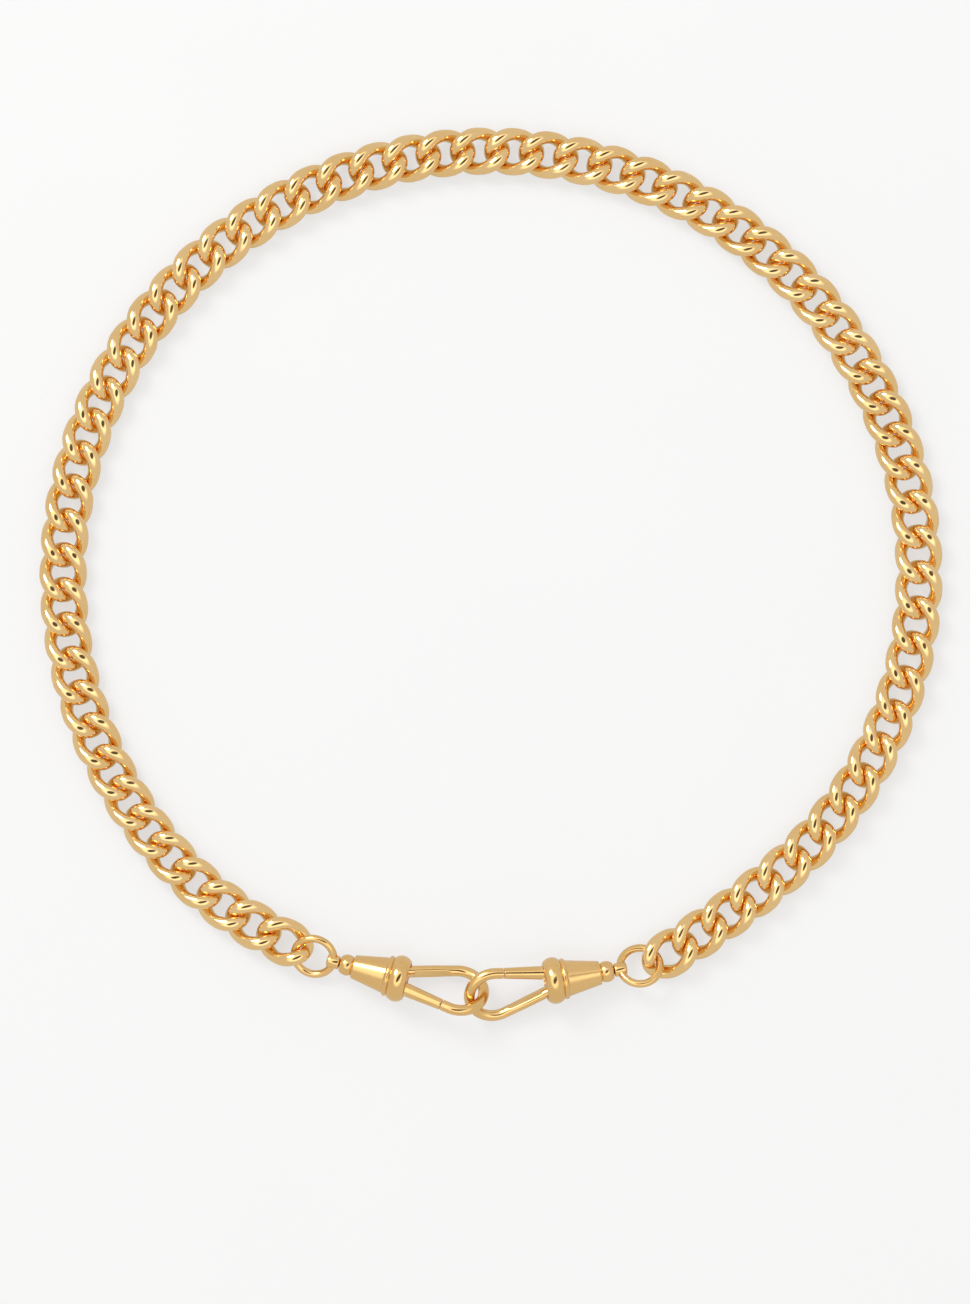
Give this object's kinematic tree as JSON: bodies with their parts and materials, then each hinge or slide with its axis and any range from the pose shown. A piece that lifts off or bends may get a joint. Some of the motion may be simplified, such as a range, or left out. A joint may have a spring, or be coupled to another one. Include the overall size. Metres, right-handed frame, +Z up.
{
  "type": "chain necklace",
  "caption": "Polished curb chain necklace with a swivel snap clip at each end, the two clips hooked into each other to close the loop.",
  "frame": {"origin": "centre of the loop in plan, at the height of the surface that the necklace lies on", "axes": "+X across the loop towards the right clip's side, +Y away from the clips towards the back of the loop, +Z up"},
  "size_m": [0.1532, 0.1516, 0.008],
  "materials": {
    "chain": "polished gold plate over brass",
    "clip": "polished gold plate over brass",
    "spring": "bright drawn spring wire"
  },
  "bodies": {
    "link_01": {"link_01": "chain"},
    "link_02": {"link_02": "chain"},
    "link_03": {"link_03": "chain"},
    "link_04": {"link_04": "chain"},
    "link_05": {"link_05": "chain"},
    "link_06": {"link_06": "chain"},
    "link_07": {"link_07": "chain"},
    "link_08": {"link_08": "chain"},
    "link_09": {"link_09": "chain"},
    "link_10": {"link_10": "chain"},
    "link_11": {"link_11": "chain"},
    "link_12": {"link_12": "chain"},
    "links_13_14": {"links_13_14": "chain"},
    "links_15_16": {"links_15_16": "chain"},
    "links_17_18": {"links_17_18": "chain"},
    "links_19_20": {"links_19_20": "chain"},
    "links_21_22": {"links_21_22": "chain"},
    "links_23_24": {"links_23_24": "chain"},
    "links_25_26": {"links_25_26": "chain"},
    "links_27_28": {"links_27_28": "chain"},
    "links_29_30": {"links_29_30": "chain"},
    "links_31_32": {"links_31_32": "chain"},
    "links_33_34": {"links_33_34": "chain"},
    "links_35_36": {"links_35_36": "chain"},
    "links_37_38": {"links_37_38": "chain"},
    "links_39_40": {"links_39_40": "chain"},
    "links_41_42": {"links_41_42": "chain"},
    "links_43_44": {"links_43_44": "chain"},
    "links_45_46": {"links_45_46": "chain"},
    "links_47_48": {"links_47_48": "chain"},
    "links_49_50": {"links_49_50": "chain"},
    "links_51_52": {"links_51_52": "chain"},
    "links_53_54": {"links_53_54": "chain"},
    "link_55": {"link_55": "chain"},
    "link_56": {"link_56": "chain"},
    "link_57": {"link_57": "chain"},
    "link_58": {"link_58": "chain"},
    "link_59": {"link_59": "chain"},
    "link_60": {"link_60": "chain"},
    "link_61": {"link_61": "chain"},
    "link_62": {"link_62": "chain"},
    "link_63": {"link_63": "chain"},
    "link_64": {"link_64": "chain"},
    "link_65": {"link_65": "chain"},
    "link_66": {"link_66": "chain"},
    "left_swivel": {"left_swivel_ring": "clip", "left_swivel_post": "clip"},
    "left_clip": {"left_clip_barrel": "clip", "left_clip_hook": "clip", "left_gate_pin": "clip", "left_gate_spring": "spring"},
    "left_gate": {"left_clip_gate": "clip"},
    "right_swivel": {"right_swivel_ring": "clip", "right_swivel_post": "clip"},
    "right_clip": {"right_clip_barrel": "clip", "right_clip_hook": "clip", "right_gate_pin": "clip", "right_gate_spring": "spring"},
    "right_gate": {"right_clip_gate": "clip"}
  },
  "joints": [
    {"name": "swing_left_01", "type": "hinge", "parent": "links_33_34", "child": "links_31_32", "pos_m": [-0.0048, 0.07162, 0.00222], "axis": [0, 0, -1], "range_deg": [-2.42, 2.42]},
    {"name": "swing_left_03", "type": "hinge", "parent": "links_29_30", "child": "links_27_28", "pos_m": [-0.02745, 0.06645, 0.00222], "axis": [0, 0, -1], "range_deg": [-2.38, 2.38]},
    {"name": "swing_left_05", "type": "hinge", "parent": "links_25_26", "child": "links_23_24", "pos_m": [-0.04731, 0.05437, 0.00222], "axis": [0, 0, -1], "range_deg": [-1.17, 1.17]},
    {"name": "swing_left_07", "type": "hinge", "parent": "links_21_22", "child": "links_19_20", "pos_m": [-0.0623, 0.03661, 0.00222], "axis": [0, 0, -1], "range_deg": [-1.4, 1.4]},
    {"name": "swing_left_09", "type": "hinge", "parent": "links_17_18", "child": "links_15_16", "pos_m": [-0.07091, 0.01495, 0.00222], "axis": [0, 0, -1], "range_deg": [-3.86, 3.86]},
    {"name": "swing_left_11", "type": "hinge", "parent": "links_13_14", "child": "link_12", "pos_m": [-0.07208, -0.00846, 0.00222], "axis": [0, 0, -1], "range_deg": [-2.18, 2.18]},
    {"name": "swing_left_13", "type": "hinge", "parent": "link_11", "child": "link_10", "pos_m": [-0.06978, -0.01999, 0.00222], "axis": [0, 0, -1], "range_deg": [-2.08, 2.08]},
    {"name": "swing_left_15", "type": "hinge", "parent": "link_09", "child": "link_08", "pos_m": [-0.06562, -0.03098, 0.00222], "axis": [0, 0, -1], "range_deg": [-1.67, 1.67]},
    {"name": "swing_left_17", "type": "hinge", "parent": "link_07", "child": "link_06", "pos_m": [-0.05972, -0.04115, 0.00222], "axis": [0, 0, -1], "range_deg": [-0.9, 0.9]},
    {"name": "swing_left_19", "type": "hinge", "parent": "link_05", "child": "link_04", "pos_m": [-0.05216, -0.05023, 0.00222], "axis": [0, 0, -1], "range_deg": [-0.4, 0.4]},
    {"name": "swing_left_21", "type": "hinge", "parent": "link_03", "child": "link_02", "pos_m": [-0.04288, -0.05785, 0.00228], "axis": [0, 0, -1], "range_deg": [-2.06, 2.06]},
    {"name": "swing_left_ring", "type": "hinge", "parent": "link_01", "child": "left_swivel", "pos_m": [-0.03329, -0.06398, 0.00274], "axis": [0, 0, -1], "range_deg": [-3.43, 3.43]},
    {"name": "swing_right_01", "type": "hinge", "parent": "links_33_34", "child": "links_35_36", "pos_m": [0.00688, 0.07141, 0.00222], "axis": [0, 0, -1], "range_deg": [-2.37, 2.37]},
    {"name": "swing_right_03", "type": "hinge", "parent": "links_37_38", "child": "links_39_40", "pos_m": [0.02946, 0.06544, 0.00222], "axis": [0, 0, -1], "range_deg": [-2.01, 2.01]},
    {"name": "swing_right_05", "type": "hinge", "parent": "links_41_42", "child": "links_43_44", "pos_m": [0.049, 0.05264, 0.00222], "axis": [0, 0, -1], "range_deg": [-0.67, 0.67]},
    {"name": "swing_right_07", "type": "hinge", "parent": "links_45_46", "child": "links_47_48", "pos_m": [0.06351, 0.03433, 0.00222], "axis": [0, 0, -1], "range_deg": [-1.79, 1.79]},
    {"name": "swing_right_09", "type": "hinge", "parent": "links_49_50", "child": "links_51_52", "pos_m": [0.07149, 0.0123, 0.00222], "axis": [0, 0, -1], "range_deg": [-4.02, 4.02]},
    {"name": "swing_right_11", "type": "hinge", "parent": "links_53_54", "child": "link_55", "pos_m": [0.07155, -0.01163, 0.00222], "axis": [0, 0, -1], "range_deg": [-2.19, 2.19]},
    {"name": "swing_right_13", "type": "hinge", "parent": "link_56", "child": "link_57", "pos_m": [0.06837, -0.02321, 0.00222], "axis": [0, 0, -1], "range_deg": [-1.98, 1.98]},
    {"name": "swing_right_15", "type": "hinge", "parent": "link_58", "child": "link_59", "pos_m": [0.06316, -0.03403, 0.00222], "axis": [0, 0, -1], "range_deg": [-1.46, 1.46]},
    {"name": "swing_right_17", "type": "hinge", "parent": "link_60", "child": "link_61", "pos_m": [0.0561, -0.04375, 0.00222], "axis": [0, 0, -1], "range_deg": [-0.56, 0.56]},
    {"name": "swing_right_19", "type": "hinge", "parent": "link_62", "child": "link_63", "pos_m": [0.04745, -0.05209, 0.00222], "axis": [0, 0, -1], "range_deg": [-0.85, 0.85]},
    {"name": "swing_right_21", "type": "hinge", "parent": "link_64", "child": "link_65", "pos_m": [0.03789, -0.0594, 0.00222], "axis": [0, 0, -1], "range_deg": [-2.43, 2.43]},
    {"name": "swing_right_ring", "type": "hinge", "parent": "link_66", "child": "right_swivel", "pos_m": [0.02866, -0.0659, 0.00274], "axis": [0, 0, -1], "range_deg": [-3.67, 3.67]},
    {"name": "lift_left_02", "type": "hinge", "parent": "links_31_32", "child": "links_29_30", "pos_m": [-0.01633, 0.06995, 0.00222], "axis": [0.2224, -0.975, 0], "range_deg": [0, 2.19]},
    {"name": "lift_left_04", "type": "hinge", "parent": "links_27_28", "child": "links_25_26", "pos_m": [-0.03787, 0.06121, 0.00222], "axis": [0.52, -0.8542, 0], "range_deg": [0, 0.44]},
    {"name": "lift_left_06", "type": "hinge", "parent": "links_23_24", "child": "links_21_22", "pos_m": [-0.05552, 0.0461, 0.00222], "axis": [0.7639, -0.6453, 0], "range_deg": [-2.09, 0]},
    {"name": "lift_left_08", "type": "hinge", "parent": "links_19_20", "child": "links_17_18", "pos_m": [-0.06747, 0.02617, 0.00222], "axis": [0.9291, -0.3699, 0], "range_deg": [-4.21, 0]},
    {"name": "lift_left_10", "type": "hinge", "parent": "links_15_16", "child": "links_13_14", "pos_m": [-0.07246, 0.00329, 0.00222], "axis": [0.9987, -0.0502, 0], "range_deg": [-4.86, 0]},
    {"name": "lift_left_12", "type": "hinge", "parent": "link_12", "child": "link_11", "pos_m": [-0.07117, -0.01427, 0.00222], "axis": [0.9807, 0.1956, 0], "range_deg": [-1.91, 0]},
    {"name": "lift_left_14", "type": "hinge", "parent": "link_10", "child": "link_09", "pos_m": [-0.06793, -0.02557, 0.00222], "axis": [0.9353, 0.3538, 0], "range_deg": [-1.37, 0]},
    {"name": "lift_left_16", "type": "hinge", "parent": "link_08", "child": "link_07", "pos_m": [-0.06288, -0.03619, 0.00222], "axis": [0.8646, 0.5024, 0], "range_deg": [-0.69, 0]},
    {"name": "lift_left_18", "type": "hinge", "parent": "link_06", "child": "link_05", "pos_m": [-0.05616, -0.04583, 0.00222], "axis": [0.7705, 0.6374, 0], "range_deg": [-0.31, 0]},
    {"name": "lift_left_20", "type": "hinge", "parent": "link_04", "child": "link_03", "pos_m": [-0.04771, -0.05428, 0.00222], "axis": [0.6347, 0.7727, 0], "range_deg": [0, 0.65]},
    {"name": "lift_left_22", "type": "hinge", "parent": "link_02", "child": "link_01", "pos_m": [-0.03772, -0.06093, 0.00253], "axis": [0.4676, 0.8839, 0], "range_deg": [-0.31, 0]},
    {"name": "lift_right_02", "type": "hinge", "parent": "links_35_36", "child": "links_37_38", "pos_m": [0.01841, 0.06933, 0.00222], "axis": [-0.2558, -0.9667, 0], "range_deg": [-2.15, 0]},
    {"name": "lift_right_04", "type": "hinge", "parent": "links_39_40", "child": "links_41_42", "pos_m": [0.03974, 0.05982, 0.00222], "axis": [-0.5479, -0.8366, 0], "range_deg": [-0.39, 0]},
    {"name": "lift_right_06", "type": "hinge", "parent": "links_43_44", "child": "links_45_46", "pos_m": [0.05699, 0.04407, 0.00222], "axis": [-0.7839, -0.6209, 0], "range_deg": [0, 2.3]},
    {"name": "lift_right_08", "type": "hinge", "parent": "links_47_48", "child": "links_49_50", "pos_m": [0.06838, 0.02367, 0.00222], "axis": [-0.9398, -0.3417, 0], "range_deg": [0, 4.24]},
    {"name": "lift_right_10", "type": "hinge", "parent": "links_51_52", "child": "links_53_54", "pos_m": [0.0726, 0.00034, 0.00222], "axis": [-1, -0.0027, 0], "range_deg": [0, 5.33]},
    {"name": "lift_right_12", "type": "hinge", "parent": "link_55", "child": "link_56", "pos_m": [0.07022, -0.01749, 0.00222], "axis": [-0.9643, 0.2648, 0], "range_deg": [0, 2.34]},
    {"name": "lift_right_14", "type": "hinge", "parent": "link_57", "child": "link_58", "pos_m": [0.06601, -0.02874, 0.00222], "axis": [-0.9011, 0.4336, 0], "range_deg": [0, 1.56]},
    {"name": "lift_right_16", "type": "hinge", "parent": "link_59", "child": "link_60", "pos_m": [0.05985, -0.03905, 0.00222], "axis": [-0.8087, 0.5883, 0], "range_deg": [0, 0.5]},
    {"name": "lift_right_18", "type": "hinge", "parent": "link_61", "child": "link_62", "pos_m": [0.05194, -0.04809, 0.00222], "axis": [-0.6899, 0.7239, 0], "range_deg": [-0.76, 0]},
    {"name": "lift_right_20", "type": "hinge", "parent": "link_63", "child": "link_64", "pos_m": [0.04275, -0.05585, 0.00222], "axis": [-0.6077, 0.7941, 0], "range_deg": [-0.74, 0]},
    {"name": "lift_right_22", "type": "hinge", "parent": "link_65", "child": "link_66", "pos_m": [0.03289, -0.06275, 0.00229], "axis": [-0.5388, 0.8424, 0], "range_deg": [-0.57, 0]},
    {"name": "left_swivel_turn", "type": "hinge", "parent": "left_swivel", "child": "left_clip", "pos_m": [-0.01417, -0.06892, 0.00408], "axis": [0.9659, -0.2498, 0.068], "range_deg": [-8, 0]},
    {"name": "left_gate_hinge", "type": "hinge", "parent": "left_clip", "child": "left_gate", "pos_m": [-0.01544, -0.06994, 0.00511], "axis": [0.1105, 0.6354, 0.7643], "range_deg": [0, 22], "stiffness_Nm_per_rad": 0.006, "springref_deg": -28.65},
    {"name": "right_swivel_turn", "type": "hinge", "parent": "right_swivel", "child": "right_clip", "pos_m": [0.00917, -0.06912, 0.00408], "axis": [-0.9843, -0.1629, 0.068], "range_deg": [-18, 0]},
    {"name": "right_gate_hinge", "type": "hinge", "parent": "right_clip", "child": "right_gate", "pos_m": [0.00987, -0.06752, 0.00487], "axis": [0.1398, -0.4837, 0.864], "range_deg": [0, 22], "stiffness_Nm_per_rad": 0.006, "springref_deg": -28.65}
  ],
  "couplings": [
    {"joint": "swing_left_03", "follows": "swing_left_01", "ratio": 0.96851},
    {"joint": "swing_left_05", "follows": "swing_left_01", "ratio": 0.46982},
    {"joint": "swing_left_07", "follows": "swing_left_01", "ratio": -0.56478},
    {"joint": "swing_left_09", "follows": "swing_left_01", "ratio": -1.5797},
    {"joint": "swing_left_11", "follows": "swing_left_01", "ratio": -0.88811},
    {"joint": "swing_left_13", "follows": "swing_left_01", "ratio": -0.84623},
    {"joint": "swing_left_15", "follows": "swing_left_01", "ratio": -0.67651},
    {"joint": "swing_left_17", "follows": "swing_left_01", "ratio": -0.35584},
    {"joint": "swing_left_19", "follows": "swing_left_01", "ratio": 0.15088},
    {"joint": "swing_left_21", "follows": "swing_left_01", "ratio": 0.83638},
    {"joint": "swing_left_ring", "follows": "swing_left_01", "ratio": 1.4034},
    {"joint": "swing_right_01", "follows": "swing_left_01", "ratio": -0.96574},
    {"joint": "swing_right_03", "follows": "swing_left_01", "ratio": -0.81775},
    {"joint": "swing_right_05", "follows": "swing_left_01", "ratio": -0.26209},
    {"joint": "swing_right_07", "follows": "swing_left_01", "ratio": 0.72658},
    {"joint": "swing_right_09", "follows": "swing_left_01", "ratio": 1.6473},
    {"joint": "swing_right_11", "follows": "swing_left_01", "ratio": 0.89166},
    {"joint": "swing_right_13", "follows": "swing_left_01", "ratio": 0.80456},
    {"joint": "swing_right_15", "follows": "swing_left_01", "ratio": 0.58729},
    {"joint": "swing_right_17", "follows": "swing_left_01", "ratio": 0.2159},
    {"joint": "swing_right_19", "follows": "swing_left_01", "ratio": -0.33812},
    {"joint": "swing_right_21", "follows": "swing_left_01", "ratio": -0.99166},
    {"joint": "swing_right_ring", "follows": "swing_left_01", "ratio": -1.5026},
    {"joint": "lift_left_04", "follows": "lift_left_02", "ratio": 0.18608},
    {"joint": "lift_left_06", "follows": "lift_left_02", "ratio": -0.93886},
    {"joint": "lift_left_08", "follows": "lift_left_02", "ratio": -1.9047},
    {"joint": "lift_left_10", "follows": "lift_left_02", "ratio": -2.2029},
    {"joint": "lift_left_12", "follows": "lift_left_02", "ratio": -0.85664},
    {"joint": "lift_left_14", "follows": "lift_left_02", "ratio": -0.60891},
    {"joint": "lift_left_16", "follows": "lift_left_02", "ratio": -0.29721},
    {"joint": "lift_left_18", "follows": "lift_left_02", "ratio": -0.12561},
    {"joint": "lift_left_20", "follows": "lift_left_02", "ratio": 0.27915},
    {"joint": "lift_left_22", "follows": "lift_left_02", "ratio": -0.12558},
    {"joint": "lift_right_02", "follows": "lift_left_02", "ratio": -0.96465},
    {"joint": "lift_right_04", "follows": "lift_left_02", "ratio": -0.15993},
    {"joint": "lift_right_06", "follows": "lift_left_02", "ratio": 1.0356},
    {"joint": "lift_right_08", "follows": "lift_left_02", "ratio": 1.9188},
    {"joint": "lift_right_10", "follows": "lift_left_02", "ratio": 2.4158},
    {"joint": "lift_right_12", "follows": "lift_left_02", "ratio": 1.0519},
    {"joint": "lift_right_14", "follows": "lift_left_02", "ratio": 0.69754},
    {"joint": "lift_right_16", "follows": "lift_left_02", "ratio": 0.2138},
    {"joint": "lift_right_18", "follows": "lift_left_02", "ratio": -0.3301},
    {"joint": "lift_right_20", "follows": "lift_left_02", "ratio": -0.32055},
    {"joint": "lift_right_22", "follows": "lift_left_02", "ratio": -0.24652}
  ]
}
